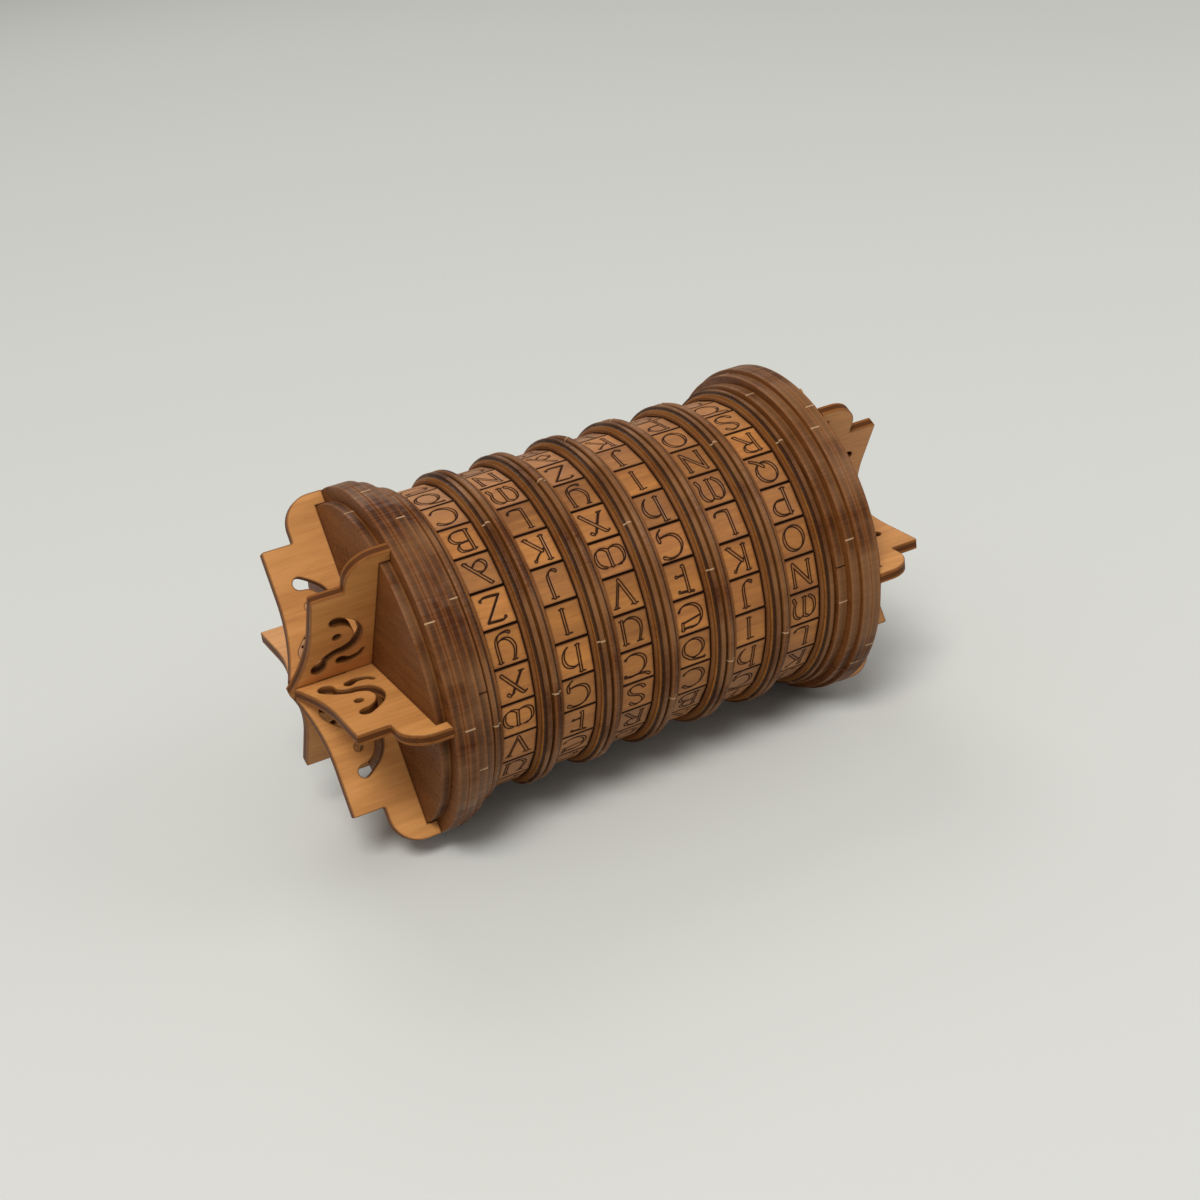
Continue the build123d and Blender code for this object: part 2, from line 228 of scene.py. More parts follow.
GLYPHS = {
    "A": (
        curve((-2.3, 3.5), (2.8, -3.2)), serif(2.0, 3.4, -3.3),
        curve(
            (0.5, -0.3), (-1.0, 0.1), (-2.5, -0.7), (-2.8, -2.1), (-1.8, -3.2), (-0.3, -3.0),
            (1.3, -1.6),
        ),
        serif(-3.0, -1.7, 3.55),
    ),
    "B": (
        curve((-2.2, 3.4), (-2.2, -3.3)),
        curve((-2.9, 3.3), (-0.6, 3.6), (1.3, 3.1), (1.7, 1.9), (0.7, 0.7), (-1.9, 0.4)),
        curve((0.3, 0.5), (2.1, -0.1), (2.8, -1.6), (1.8, -3.1), (-0.4, -3.5), (-2.9, -3.3)),
    ),
    "C": (
        curve(
            (3.4, -2.2), (2.3, -3.2), (0.4, -3.5), (-1.8, -2.8), (-3.0, -1.1), (-3.0, 0.7),
            (-2.1, 2.4), (-0.3, 3.4), (1.6, 3.3), (2.9, 2.5),
        ),
        dot(2.9, 2.4, 0.4), dot(3.4, -2.1, 0.15),
    ),
    "D": (
        oval(0.4, -0.3, 3.2, 3.0), curve((2.7, 1.6), (1.3, 2.9), (-0.6, 3.5), (-3.0, 3.6)),
        dot(-3.0, 3.5, 0.3),
    ),
    "E": (
        curve(
            (3.5, -1.8), (2.7, -2.7), (1.3, -3.2), (-0.8, -3.0), (-2.5, -1.8), (-3.2, 0.0),
            (-2.9, 1.7), (-1.8, 3.0), (-0.2, 3.4), (1.4, 3.3), (3.1, 3.3),
        ),
        curve((3.1, 3.7), (2.9, 1.8)), curve((2.9, 1.8), (0.4, 1.3), (-2.6, 0.7)),
        dot(3.5, -1.7, 0.25), serif(2.5, 3.6, 3.75),
    ),
    "F": (
        curve((-0.9, 3.8), (-0.9, -2.6), (-0.6, -3.3)), curve((2.1, 3.5), (-0.6, 3.7), (-2.2, 4.0)),
        dot(2.0, 3.3, 0.3), curve((1.9, -0.7), (0.6, -0.9), (-0.7, -0.9)), dot(1.8, -0.9, 0.35),
    ),
    "G": (
        curve(
            (3.3, 3.5), (2.2, 4.1), (0.6, 4.2), (-1.4, 3.6), (-2.7, 2.1), (-3.0, 0.5),
            (-2.3, -1.2), (-0.9, -2.1), (0.8, -2.2), (2.6, -1.9),
        ),
        curve((3.0, -1.0), (3.1, -2.5), (2.6, -3.5), (1.7, -4.2)), dot(3.3, 3.7, 0.35),
    ),
    "H": (
        curve((-1.4, 4.1), (-1.4, -3.4)), serif(-2.6, -0.8, 4.2), serif(-2.1, -0.7, -3.45),
        curve(
            (-1.3, 1.8), (-0.2, 2.3), (1.0, 2.35), (2.5, 1.6), (3.2, 0.1), (3.1, -1.4),
            (2.5, -2.7), (1.6, -3.5),
        ),
    ),
    "I": (
        curve((0.4, 3.3), (0.4, -3.2)), serif(-1.0, 1.1, 3.4), serif(-0.3, 1.1, -3.3),
    ),
    "J": (
        curve((0.9, 3.6), (0.9, -1.4), (0.5, -2.9), (-0.6, -3.7), (-1.8, -3.4)),
        dot(-1.8, -3.2, 0.35), serif(-0.3, 1.8, 3.65),
    ),
    "K": (
        curve((-2.1, 3.6), (-2.1, -3.4)), serif(-2.9, -1.3, 3.7), serif(-2.8, -1.4, -3.5),
        curve((-2.0, -0.1), (0.7, 1.9), (2.1, 3.4)), dot(2.1, 3.3, 0.35),
        curve((-0.8, 0.8), (2.6, -3.3)), serif(1.8, 3.4, -3.4),
    ),
    "L": (
        curve((-1.3, 3.6), (-1.3, -2.4), (-0.9, -3.2), (0.5, -3.5), (2.3, -3.3), (2.9, -2.4)),
        serif(-2.1, -0.5, 3.7),
    ),
    "M": (
        curve((0.0, 2.8), (0.0, -3.2)), serif(-0.8, 0.8, -3.3),
        curve((0.0, 2.5), (-1.4, 3.3), (-2.9, 2.5), (-3.5, 0.4), (-3.1, -1.8), (-1.8, -3.2)),
        curve((0.0, 2.5), (1.4, 3.3), (2.9, 2.5), (3.4, 0.4), (3.0, -1.8), (3.5, -3.2)),
    ),
    "N": (
        curve((-2.5, 3.4), (-2.5, -3.4)), curve((-2.5, 3.4), (2.5, -3.3)),
        curve((2.5, 3.4), (2.5, -3.3)), serif(-3.2, -1.8, -3.5), serif(1.8, 3.2, 3.5),
        serif(-3.2, -2.3, 3.5),
    ),
    "O": (
        oval(0.0, 0.0, 3.1, 3.4),
    ),
    "P": (
        curve((-1.8, 3.5), (-1.8, -3.9)), serif(-2.6, -1.0, -4.0),
        curve((-2.6, 3.1), (-0.9, 3.6), (1.2, 3.4), (2.6, 2.2), (2.6, 0.6), (1.3, -0.7), (-1.6, -0.8)),
    ),
    "Q": (
        oval(-0.2, 0.4, 3.0, 3.2), curve((0.0, -1.5), (1.4, -2.9), (3.2, -3.9)),
    ),
    "R": (
        curve((-2.2, 3.4), (-2.2, -3.3)), serif(-2.9, -1.5, -3.4),
        curve((-2.9, 3.2), (-0.5, 3.6), (1.5, 3.0), (1.9, 1.8), (0.9, 0.5), (-1.9, 0.2)),
        curve((-0.3, 0.2), (2.6, -3.3)), serif(1.9, 3.3, -3.4),
    ),
    "S": (
        curve(
            (-2.0, -2.5), (-1.2, -3.4), (0.3, -3.8), (1.9, -3.4), (2.7, -2.3), (2.2, -1.0),
            (0.7, -0.2), (-1.0, 0.5), (-1.9, 1.6), (-1.6, 2.8), (-0.4, 3.5), (1.0, 3.4),
            (2.0, 2.7),
        ),
        dot(-1.9, -2.4, 0.3), dot(2.0, 2.6, 0.3),
    ),
    "T": (
        curve((3.9, 2.9), (2.0, 3.1), (-0.4, 2.9), (-2.4, 3.2), (-3.5, 3.8)), dot(3.8, 2.6, 0.3),
        dot(-3.5, 3.9, 0.25),
        curve(
            (-0.4, 2.8), (-1.9, 1.6), (-2.6, -0.2), (-2.2, -1.9), (-0.9, -3.1), (0.7, -3.6),
            (2.3, -3.4), (3.4, -2.6),
        ),
        dot(3.4, -2.5, 0.3),
    ),
    "U": (
        curve((2.7, 3.2), (2.7, -3.3)), serif(1.6, 3.4, 3.3), serif(2.6, 3.5, -3.4),
        serif(-2.6, -0.9, 3.3),
        curve(
            (2.5, -2.6), (1.4, -3.4), (0.1, -3.6), (-1.4, -3.1), (-2.5, -1.8), (-2.7, -0.2),
            (-2.3, 1.5), (-1.7, 3.1),
        ),
        dot(-1.8, 3.0, 0.2),
    ),
    "V": (
        curve((-2.5, 3.2), (0.4, -3.8)), curve((3.0, 3.2), (0.4, -3.8)), serif(-3.5, -1.4, 3.3),
        serif(2.2, 3.9, 3.3), dot(3.0, 2.9, 0.25),
    ),
    "W": (
        curve((0.2, 2.4), (0.2, -2.2)), serif(-0.6, 1.0, 2.5), serif(-2.5, -1.2, 2.5),
        serif(1.6, 2.9, 2.5),
        curve(
            (0.1, -2.0), (-0.7, -2.6), (-2.1, -2.8), (-3.5, -2.1), (-4.1, -0.6), (-3.9, 1.0),
            (-3.1, 2.0), (-1.9, 2.4),
        ),
        curve(
            (0.3, -2.0), (1.1, -2.6), (2.4, -2.8), (3.7, -2.1), (4.2, -0.6), (4.0, 1.0),
            (3.2, 2.0), (2.2, 2.4),
        ),
    ),
    "X": (
        curve((-3.3, 2.7), (-2.6, 3.1), (-1.8, 2.7), (-0.5, 1.2), (3.2, -3.1)), dot(3.1, -3.1, 0.4),
        curve((-2.5, -3.0), (0.2, 1.6), (0.8, 2.7), (1.5, 3.1), (2.2, 2.7)), dot(2.1, 2.6, 0.3),
        serif(-3.3, -1.8, -3.1), dot(-2.5, -2.9, 0.25),
    ),
    "Y": (
        curve((2.4, 3.8), (2.4, -0.8), (2.0, -2.5), (0.9, -3.5), (-0.7, -3.8), (-1.9, -3.6)),
        dot(-1.8, -3.4, 0.35), serif(1.6, 3.1, 3.9), serif(-2.4, -1.0, 3.9), dot(-1.7, 3.6, 0.2),
        curve(
            (-1.6, 3.8), (-2.2, 2.3), (-2.5, 0.7), (-2.0, -0.9), (-0.9, -1.9), (0.5, -2.1),
            (1.7, -1.6), (2.3, -0.9),
        ),
    ),
    "Z": (
        curve((-2.5, 3.0), (-1.4, 3.5), (2.6, 3.3)), curve((2.6, 3.3), (-2.6, -3.2)),
        curve((-2.6, -3.2), (1.4, -3.4), (2.8, -2.9)), dot(-2.5, 2.9, 0.3), dot(2.8, -2.7, 0.3),
    ),
}


def letter_distance(letter, right, up):
    """How far each point lies outside (+) or inside (-) the letter's outline, in metres: the least
    distance to any stroke's path less the stroke's half width there."""
    points = np.stack([right.ravel(), up.ravel()], 1) / MM
    nearest = np.full(len(points), 2.0)
    for stroke in GLYPHS[letter]:
        for (*a, wide_a), (*b, wide_b) in zip(stroke[:-1], stroke[1:]):
            step = np.subtract(b, a)
            along = np.clip((points - a) @ step / (step @ step), 0, 1)
            away = np.linalg.norm(points - a - along[:, None] * step, axis=1)
            nearest = np.minimum(nearest, away - wide_a - along * (wide_b - wide_a))
    return nearest.reshape(right.shape) * MM


def smooth_step(low, high, value):
    """0 below low, 1 above high, with a smooth rise between."""
    t = np.clip((value - low) / (high - low), 0, 1)
    return t * t * (3 - 2 * t)


def letter_band(number, groove_angle, letter, material):
    """The faceted band of one ring. Round the axis each facet is flat, so its radius is its apothem
    over the cosine of the angle from its middle. Across the band the outline goes from the bore over
    a round rim down to the facets and up again. Grooves are cut between facets and along each
    letter's outline."""
    node = f"ring_{number}_letter_band"
    x0, x1, rim = span(node)
    middle, apothem = (x0 + x1) / 2, rim - FACET_SINK
    bore = span(f"ring_{number}_gate")[2] + 0.1 * MM
    half_side = apothem * math.tan(FACET_STEP / 2)
    edge = half_side - GROOVE_HALF
    fine = np.linspace(-4.5 * MM, 4.5 * MM, 48)
    lip = half_side - 0.12 * MM
    along = np.concatenate([[-half_side, -lip, -edge], fine, [edge, lip]])
    face_edge = (x1 - x0) / 2 - RIM_WIDTH
    fine = np.linspace(-4.65 * MM, 4.65 * MM, 50)
    lip = face_edge - 0.15 * MM
    across = np.concatenate([[-face_edge, -lip], fine, [lip, face_edge]])
    turn = np.arctan(along / apothem)
    groove = np.clip((np.abs(along) - edge) / GROOVE_HALF, 0, 1)

    angles, radii, glyphs, borders, tones = [], [], [], [], []
    first = math.radians(groove_angle) - FACET_STEP / 2
    rng = np.random.default_rng(number)
    groove_depth = 0.12 * MM * (groove > 0) + (GROOVE_DEPTH - 0.12 * MM) * groove
    border = np.minimum((half_side - np.abs(along))[None, :], (face_edge - np.abs(across))[:, None])
    for place_number in range(LETTERS):
        name = chr(ord("A") + (ord(letter) - ord("A") + place_number) % LETTERS)
        distance = letter_distance(name, *np.broadcast_arrays(-across[:, None], -along[None, :]))
        cut = LINE_DEPTH * (1 - smooth_step(0.3 * LINE_HALF, 2.0 * LINE_HALF, np.abs(distance)))
        depth = np.maximum(cut, groove_depth[None, :])
        radii.append((apothem - depth) / np.cos(turn)[None, :])
        angles.append(first + place_number * FACET_STEP + turn)
        glyphs.append(distance)
        borders.append(border)
        tones.append(np.full_like(distance, rng.uniform()))
    angles, radii, glyphs = np.concatenate(angles), np.hstack(radii), np.hstack(glyphs)
    borders, tones = np.hstack(borders), np.hstack(tones)

    def rim_rows(side):
        """The rows of one rim, from the bore outwards and over to the facets."""
        start = middle + side * (face_edge + RIM_WIDTH)
        outline = [(start, bore), (start, rim - EASE)]
        for t in np.linspace(0.25, 1, 4) * math.pi / 2:
            outline.append((start - side * EASE * (1 - math.cos(t)), rim - EASE * (1 - math.sin(t))))
        inner = middle + side * face_edge
        for t in np.linspace(0, 1, 3) * math.pi / 2:
            inwards, down = 0.2 * MM * (1 - math.sin(t)), 0.2 * MM * (1 - math.cos(t))
            outline.append((inner + side * inwards, rim - down))
        return outline

    left, right = np.array(rim_rows(-1)), np.array(rim_rows(1))[::-1]
    wide = np.ones_like(angles)
    x = np.concatenate([left[:, 0], middle + across, right[:, 0]])
    radius = np.vstack([left[:, 1:] * wide, radii, right[:, 1:] * wide])
    rim_value = np.full((len(left), len(angles)), -1 * MM)
    values = {
        "glyph": np.vstack([-rim_value, glyphs, -rim_value]) / MM,
        "border": np.vstack([rim_value, borders, rim_value]) / MM,
        "tone": np.vstack([np.full_like(rim_value, 0.5), tones, np.full_like(rim_value, 0.5)]),
    }
    points = place(x[:, None], radius, angles[None, :])
    return finish_piece(
        f"letter_band_{number}", points.reshape(-1, 3), grid_faces(*radius.shape), values,
        f"ring_{number}", material, [node],
    )


# ---- shader building ----
def add(tree, kind, inputs=(), **settings):
    """A new node with its settings, and its inputs given as values or as other nodes' outputs."""
    made = tree.nodes.new(kind)
    for key, value in settings.items():
        setattr(made, key, value)
    for key, value in dict(inputs).items():
        if isinstance(value, bpy.types.NodeSocket):
            tree.links.new(value, made.inputs[key])
        else:
            made.inputs[key].default_value = value
    return made


def math_node(tree, operation, a, b=0.0, c=0.0, clamp=False):
    """One arithmetic step."""
    inputs = {0: a, 1: b, 2: c}
    return add(tree, "ShaderNodeMath", inputs, operation=operation, use_clamp=clamp).outputs[0]


def scaled(tree, coordinate, scale):
    """A coordinate multiplied, axis by axis, by a scale."""
    made = add(tree, "ShaderNodeVectorMath", {0: coordinate, 1: scale}, operation="MULTIPLY")
    return made.outputs[0]


def noise(tree, coordinate, scale, detail, roughness=0.5, distortion=0.0):
    """Fractal noise, from 0 to 1."""
    inputs = {
        "Vector": coordinate,
        "Scale": scale,
        "Detail": detail,
        "Roughness": roughness,
        "Distortion": distortion,
    }
    return add(tree, "ShaderNodeTexNoise", inputs).outputs["Fac"]


def crosswise(tree, coordinate):
    """A coordinate turned a quarter round the vertical, for grain that runs along Y."""
    inputs = {"Vector": coordinate, "Rotation": (0, 0, math.pi / 2)}
    return add(tree, "ShaderNodeMapping", inputs).outputs[0]


def mix(tree, factor, a, b, blend="MIX"):
    """A mix of two colours."""
    made = add(tree, "ShaderNodeMix", {0: factor, 6: a, 7: b}, data_type="RGBA", blend_type=blend)
    return made.outputs[2]


def ramp(tree, value, stops):
    """A value turned into a colour or a grey by stops of (place, grey or colour)."""
    made = add(tree, "ShaderNodeValToRGB", {0: value})
    band = made.color_ramp
    while len(band.elements) < len(stops):
        band.elements.new(0.5)
    for element, (at, colour) in zip(band.elements, stops):
        element.position = at
        element.color = (colour, colour, colour, 1) if isinstance(colour, float) else (*colour, 1)
    return made.outputs[0]


def new_group(name, inputs, outputs):
    """An empty node group with its sockets, given as (name, kind, value)."""
    group = bpy.data.node_groups.new(name, "ShaderNodeTree")
    for socket, kind, value in inputs:
        made = group.interface.new_socket(socket, in_out="INPUT", socket_type="NodeSocket" + kind)
        if value is not None:
            made.default_value = value
    for socket, kind in outputs:
        group.interface.new_socket(socket, in_out="OUTPUT", socket_type="NodeSocket" + kind)
    return group, group.nodes.new("NodeGroupInput").outputs, group.nodes.new("NodeGroupOutput")


def make_grain_group():
    """Wood grain: noise drawn out along the first axis of the coordinate, with broad figure, fine
    fibres and short dark pores."""
    group, given, out = new_group(
        "wood_grain",
        [("Coordinate", "Vector", None), ("Along", "Float", 25.0), ("Across", "Float", 260.0),
         ("Light", "Color", (1, 1, 1, 1)), ("Dark", "Color", (0, 0, 0, 1))],
        [("Color", "Color"), ("Height", "Float")],
    )
    across = given["Across"]
    stretch = add(group, "ShaderNodeCombineXYZ", {0: given["Along"], 1: across, 2: across})
    drawn = scaled(group, given["Coordinate"], stretch.outputs[0])
    figure = noise(group, drawn, 0.45, 3.0, distortion=0.6)
    fibre = noise(group, drawn, 2.6, 6.0, roughness=0.65)
    pores = ramp(group, noise(group, drawn, 5.5, 2.0), [(0.60, 0.0), (0.72, 1.0)])
    figure_share = math_node(group, "MULTIPLY", figure, 0.55)
    blend = math_node(group, "MULTIPLY_ADD", fibre, 0.45, figure_share)
    spread = ramp(group, blend, [(0.36, 0.0), (0.64, 1.0)])
    colour = mix(group, spread, given["Dark"], given["Light"])
    colour = mix(group, math_node(group, "MULTIPLY", pores, 0.45), colour, given["Dark"])
    height = math_node(group, "MULTIPLY_ADD", pores, -0.6, fibre)
    group.links.new(colour, out.inputs["Color"])
    group.links.new(height, out.inputs["Height"])
    return group


def make_edge_group():
    """The laser-cut edge of plywood: veneers on each side of a darker crossed core, thin glue lines,
    fine scorch streaks through the thickness, and paler wood on corners, partly wear and partly a
    painted highlight."""
    group, given, out = new_group(
        "ply_edge",
        [("Coordinate", "Vector", None), ("Layer", "Float", 0.5), ("Wear_and_highlight", "Float", 0.0),
         ("Veneer", "Color", (0.3, 0.15, 0.06, 1)), ("Core", "Color", (0.1, 0.04, 0.02, 1)),
         ("Char", "Color", (0.02, 0.01, 0.006, 1))],
        [("Color", "Color"), ("Height", "Float"), ("Roughness", "Float")],
    )
    streak = noise(group, scaled(group, given["Coordinate"], (60.0, 1500.0, 1500.0)), 1.0, 4.0, 0.6)
    cloud = noise(group, given["Coordinate"], 55.0, 5.0)
    wander = math_node(group, "MULTIPLY", math_node(group, "SUBTRACT", cloud, 0.5), 0.22)
    through = math_node(group, "ADD", given["Layer"], wander)
    core = ramp(group, through, [(0.26, 0.0), (0.33, 1.0), (0.66, 1.0), (0.73, 0.0)])
    near = ramp(group, through, [(0.25, 0.0), (0.295, 1.0), (0.34, 0.0)])
    far = ramp(group, through, [(0.65, 0.0), (0.70, 1.0), (0.745, 0.0)])
    glue = math_node(group, "ADD", near, far)
    colour = mix(group, core, given["Veneer"], given["Core"])
    colour = mix(group, math_node(group, "MULTIPLY", glue, 0.7), colour, given["Char"])
    cloud_share = math_node(group, "MULTIPLY", cloud, 0.3)
    burns = math_node(group, "MULTIPLY_ADD", streak, 0.7, cloud_share)
    scorch = ramp(group, burns, [(0.34, 1.0), (0.62, 0.0)])
    colour = mix(group, math_node(group, "MULTIPLY", scorch, 0.42), colour, given["Char"])
    # paler patches on corners: partly wear, partly a painted highlight
    patches = ramp(group, cloud, [(0.35, 0.0), (0.6, 0.8)])
    wear_and_highlight_patches = math_node(group, "MULTIPLY", given["Wear_and_highlight"], patches)
    pale = mix(group, 0.22, given["Veneer"], BIRCH)
    colour = mix(group, math_node(group, "MULTIPLY", wear_and_highlight_patches, 0.7), colour, pale)
    glue_depth = math_node(group, "MULTIPLY", glue, -0.5)
    height = math_node(group, "MULTIPLY_ADD", streak, 0.8, glue_depth)
    rough = math_node(group, "MULTIPLY_ADD", scorch, 0.3, 0.36)
    group.links.new(colour, out.inputs["Color"])
    group.links.new(height, out.inputs["Height"])
    group.links.new(rough, out.inputs["Roughness"])
    return group


def attribute(tree, name):
    """A value stored on the piece's points."""
    return add(tree, "ShaderNodeAttribute", attribute_name=name).outputs["Fac"]


def group_node(tree, group, inputs):
    """A group placed in a material."""
    made = tree.nodes.new("ShaderNodeGroup")
    made.node_tree = group
    for key, value in inputs.items():
        if isinstance(value, bpy.types.NodeSocket):
            tree.links.new(value, made.inputs[key])
        else:
            made.inputs[key].default_value = value
    return made.outputs


def new_material(name):
    """A material with its tree, its one shader and its object coordinate."""
    material = bpy.data.materials.new(name)
    material.use_nodes = True
    tree = material.node_tree
    shader = tree.nodes["Principled BSDF"]
    coordinate = tree.nodes.new("ShaderNodeTexCoord").outputs["Object"]
    return material, tree, shader, coordinate


def bump(tree, shader, height, strength, distance):
    """Relief from a height."""
    made = add(tree, "ShaderNodeBump", {"Height": height, "Strength": strength, "Distance": distance})
    tree.links.new(made.outputs[0], shader.inputs["Normal"])


HONEY, HONEY_DARK = (0.375, 0.148, 0.030, 1), (0.220, 0.078, 0.017, 1)
CHAR, EDGE_CHAR = (0.022, 0.0075, 0.0025, 1), (0.046, 0.0145, 0.0042, 1)
SMOKE = (0.085, 0.028, 0.007, 1)
EDGE_VENEER, EDGE_CORE = (0.158, 0.052, 0.012, 1), (0.060, 0.018, 0.0042, 1)
CAP_FACE, CAP_FACE_DARK = (0.172, 0.058, 0.0135, 1), (0.090, 0.028, 0.0065, 1)
AMBER, AMBER_DARK = (0.60, 0.275, 0.082, 1), (0.41, 0.170, 0.044, 1)
BIRCH, BIRCH_DARK = (0.56, 0.34, 0.155, 1), (0.40, 0.22, 0.09, 1)
RING_VENEER, RING_CORE = (0.185, 0.060, 0.0125, 1), (0.070, 0.0205, 0.0042, 1)
CAP_VENEER, CAP_CORE = (0.140, 0.043, 0.0085, 1), (0.052, 0.0145, 0.0030, 1)
FRET_VENEER, FRET_CORE = (0.225, 0.080, 0.019, 1), (0.095, 0.030, 0.0075, 1)
PALE_TAB = (0.42, 0.27, 0.15, 1)


def letter_material(grain, edge):
    """Oiled honey-brown veneer, darker towards each facet's border and smoked along the engraved
    outlines, which are burnt nearly black; the rims are scorched edge wood."""
    material, tree, shader, coordinate = new_material("engraved_letter_veneer")
    inputs = {
        "Coordinate": coordinate,
        "Along": 40.0,
        "Across": 330.0,
        "Light": HONEY,
        "Dark": HONEY_DARK,
    }
    veneer = group_node(tree, grain, inputs)
    inputs = {
        "Coordinate": coordinate,
        "Layer": 0.1,
        # the rims take the paler corner patches: partly wear, partly a painted highlight
        "Wear_and_highlight": 0.6,
        "Veneer": EDGE_VENEER,
        "Core": EDGE_CORE,
        "Char": CHAR,
    }
    rim = group_node(tree, edge, inputs)
    tone = math_node(tree, "MULTIPLY_ADD", attribute(tree, "tone"), 0.44, 0.79)
    inputs = {0: veneer["Color"], "Scale": tone}
    toned = add(tree, "ShaderNodeVectorMath", inputs, operation="SCALE").outputs[0]
    distance = math_node(tree, "ABSOLUTE", attribute(tree, "glyph"))
    border = attribute(tree, "border")
    cloud = noise(tree, coordinate, 900.0, 3.0)
    from_line = math_node(tree, "ADD", distance, math_node(tree, "MULTIPLY_ADD", cloud, 0.10, -0.05))
    from_side = math_node(tree, "ADD", border, math_node(tree, "MULTIPLY_ADD", cloud, 0.10, -0.05))
    line = ramp(tree, from_line, [(0.13, 1.0), (0.23, 0.0)])
    halo = ramp(tree, from_line, [(0.12, 1.0), (0.55, 0.0)])
    # darker towards each facet's border
    border_darkening = ramp(tree, from_side, [(0.30, 1.0), (0.95, 0.0)])
    cut = ramp(tree, from_side, [(0.34, 1.0), (0.46, 0.0)])
    burnt = math_node(tree, "MAXIMUM", line, cut)
    on_rim = math_node(tree, "LESS_THAN", border, -0.3)
    colour = mix(tree, math_node(tree, "MULTIPLY", halo, 0.42), toned, SMOKE)
    colour = mix(tree, math_node(tree, "MULTIPLY", border_darkening, 0.62), colour, SMOKE)
    colour = mix(tree, burnt, colour, CHAR)
    colour = mix(tree, on_rim, colour, rim["Color"])
    tree.links.new(colour, shader.inputs["Base Color"])
    rough = math_node(tree, "MULTIPLY_ADD", burnt, 0.3, 0.38)
    rough = math_node(tree, "MULTIPLY_ADD", cloud, 0.16, rough)
    tree.links.new(rough, shader.inputs["Roughness"])
    gloss = math_node(tree, "MULTIPLY_ADD", burnt, -0.26, 0.34)
    tree.links.new(gloss, shader.inputs["Specular IOR Level"])
    groove = math_node(tree, "SUBTRACT", math_node(tree, "MULTIPLY", veneer["Height"], 0.4), line)
    bump(tree, shader, groove, 0.4, 0.00016)
    return material


def turned_material(name, grain, edge, veneer, core, face_light, face_dark):
    """Plywood seen on its turned edge, with plain grain on its two faces, and pale stubs where the
    holding tabs were cut off."""
    material, tree, shader, coordinate = new_material(name)
    inputs = {
        "Coordinate": coordinate,
        "Layer": attribute(tree, "layer"),
        "Wear_and_highlight": attribute(tree, "wear_and_highlight"),
        "Veneer": veneer,
        "Core": core,
        "Char": EDGE_CHAR,
    }
    rim = group_node(tree, edge, inputs)
    inputs = {
        "Coordinate": crosswise(tree, coordinate),
        "Along": 18.0,
        "Across": 260.0,
        "Light": face_light,
        "Dark": face_dark,
    }
    face = group_node(tree, grain, inputs)
    side = attribute(tree, "side")
    # painted shade: the rim colour is mixed towards near-black in the gaps between rings and on the
    # lower step
    painted_recess_shade = math_node(tree, "MULTIPLY", attribute(tree, "painted_recess_shade"), 0.88)
    rim_with_painted_shade = mix(tree, painted_recess_shade, rim["Color"], CHAR)
    colour = mix(tree, side, face["Color"], rim_with_painted_shade)
    stub = math_node(tree, "MULTIPLY", attribute(tree, "tab"), 0.85)
    colour = mix(tree, stub, colour, PALE_TAB)
    tree.links.new(colour, shader.inputs["Base Color"])
    tree.links.new(rim["Roughness"], shader.inputs["Roughness"])
    gloss = math_node(tree, "MULTIPLY_ADD", rim["Roughness"], -0.75, 0.52, clamp=True)
    tree.links.new(gloss, shader.inputs["Specular IOR Level"])
    shader.inputs["Coat Weight"].default_value = 0.025
    shader.inputs["Coat Roughness"].default_value = 0.2
    bump(tree, shader, rim["Height"], 0.4, 0.00015)
    return material


def fret_material(grain, edge):
    """Amber plywood faces, smoked along the cuts, with scorched layered edges."""
    material, tree, shader, coordinate = new_material("fretwork_veneer")
    inputs = {
        "Coordinate": coordinate,
        "Along": 20.0,
        "Across": 240.0,
        "Light": AMBER,
        "Dark": AMBER_DARK,
    }
    face = group_node(tree, grain, inputs)
    inputs = {
        "Coordinate": coordinate,
        "Layer": attribute(tree, "layer"),
        "Wear_and_highlight": 0.0,
        "Veneer": FRET_VENEER,
        "Core": FRET_CORE,
        "Char": CHAR,
    }
    rim = group_node(tree, edge, inputs)
    burn = attribute(tree, "burn")
    colour = mix(tree, math_node(tree, "MULTIPLY", burn, 0.6), face["Color"], SMOKE)
    colour = mix(tree, attribute(tree, "side"), colour, rim["Color"])
    tree.links.new(colour, shader.inputs["Base Color"])
    shader.inputs["Roughness"].default_value = 0.5
    gloss = math_node(tree, "MULTIPLY_ADD", attribute(tree, "side"), -0.24, 0.3)
    tree.links.new(gloss, shader.inputs["Specular IOR Level"])
    shader.inputs["Coat Weight"].default_value = 0.02
    shader.inputs["Coat Roughness"].default_value = 0.35
    bump(tree, shader, face["Height"], 0.35, 0.00012)
    return material


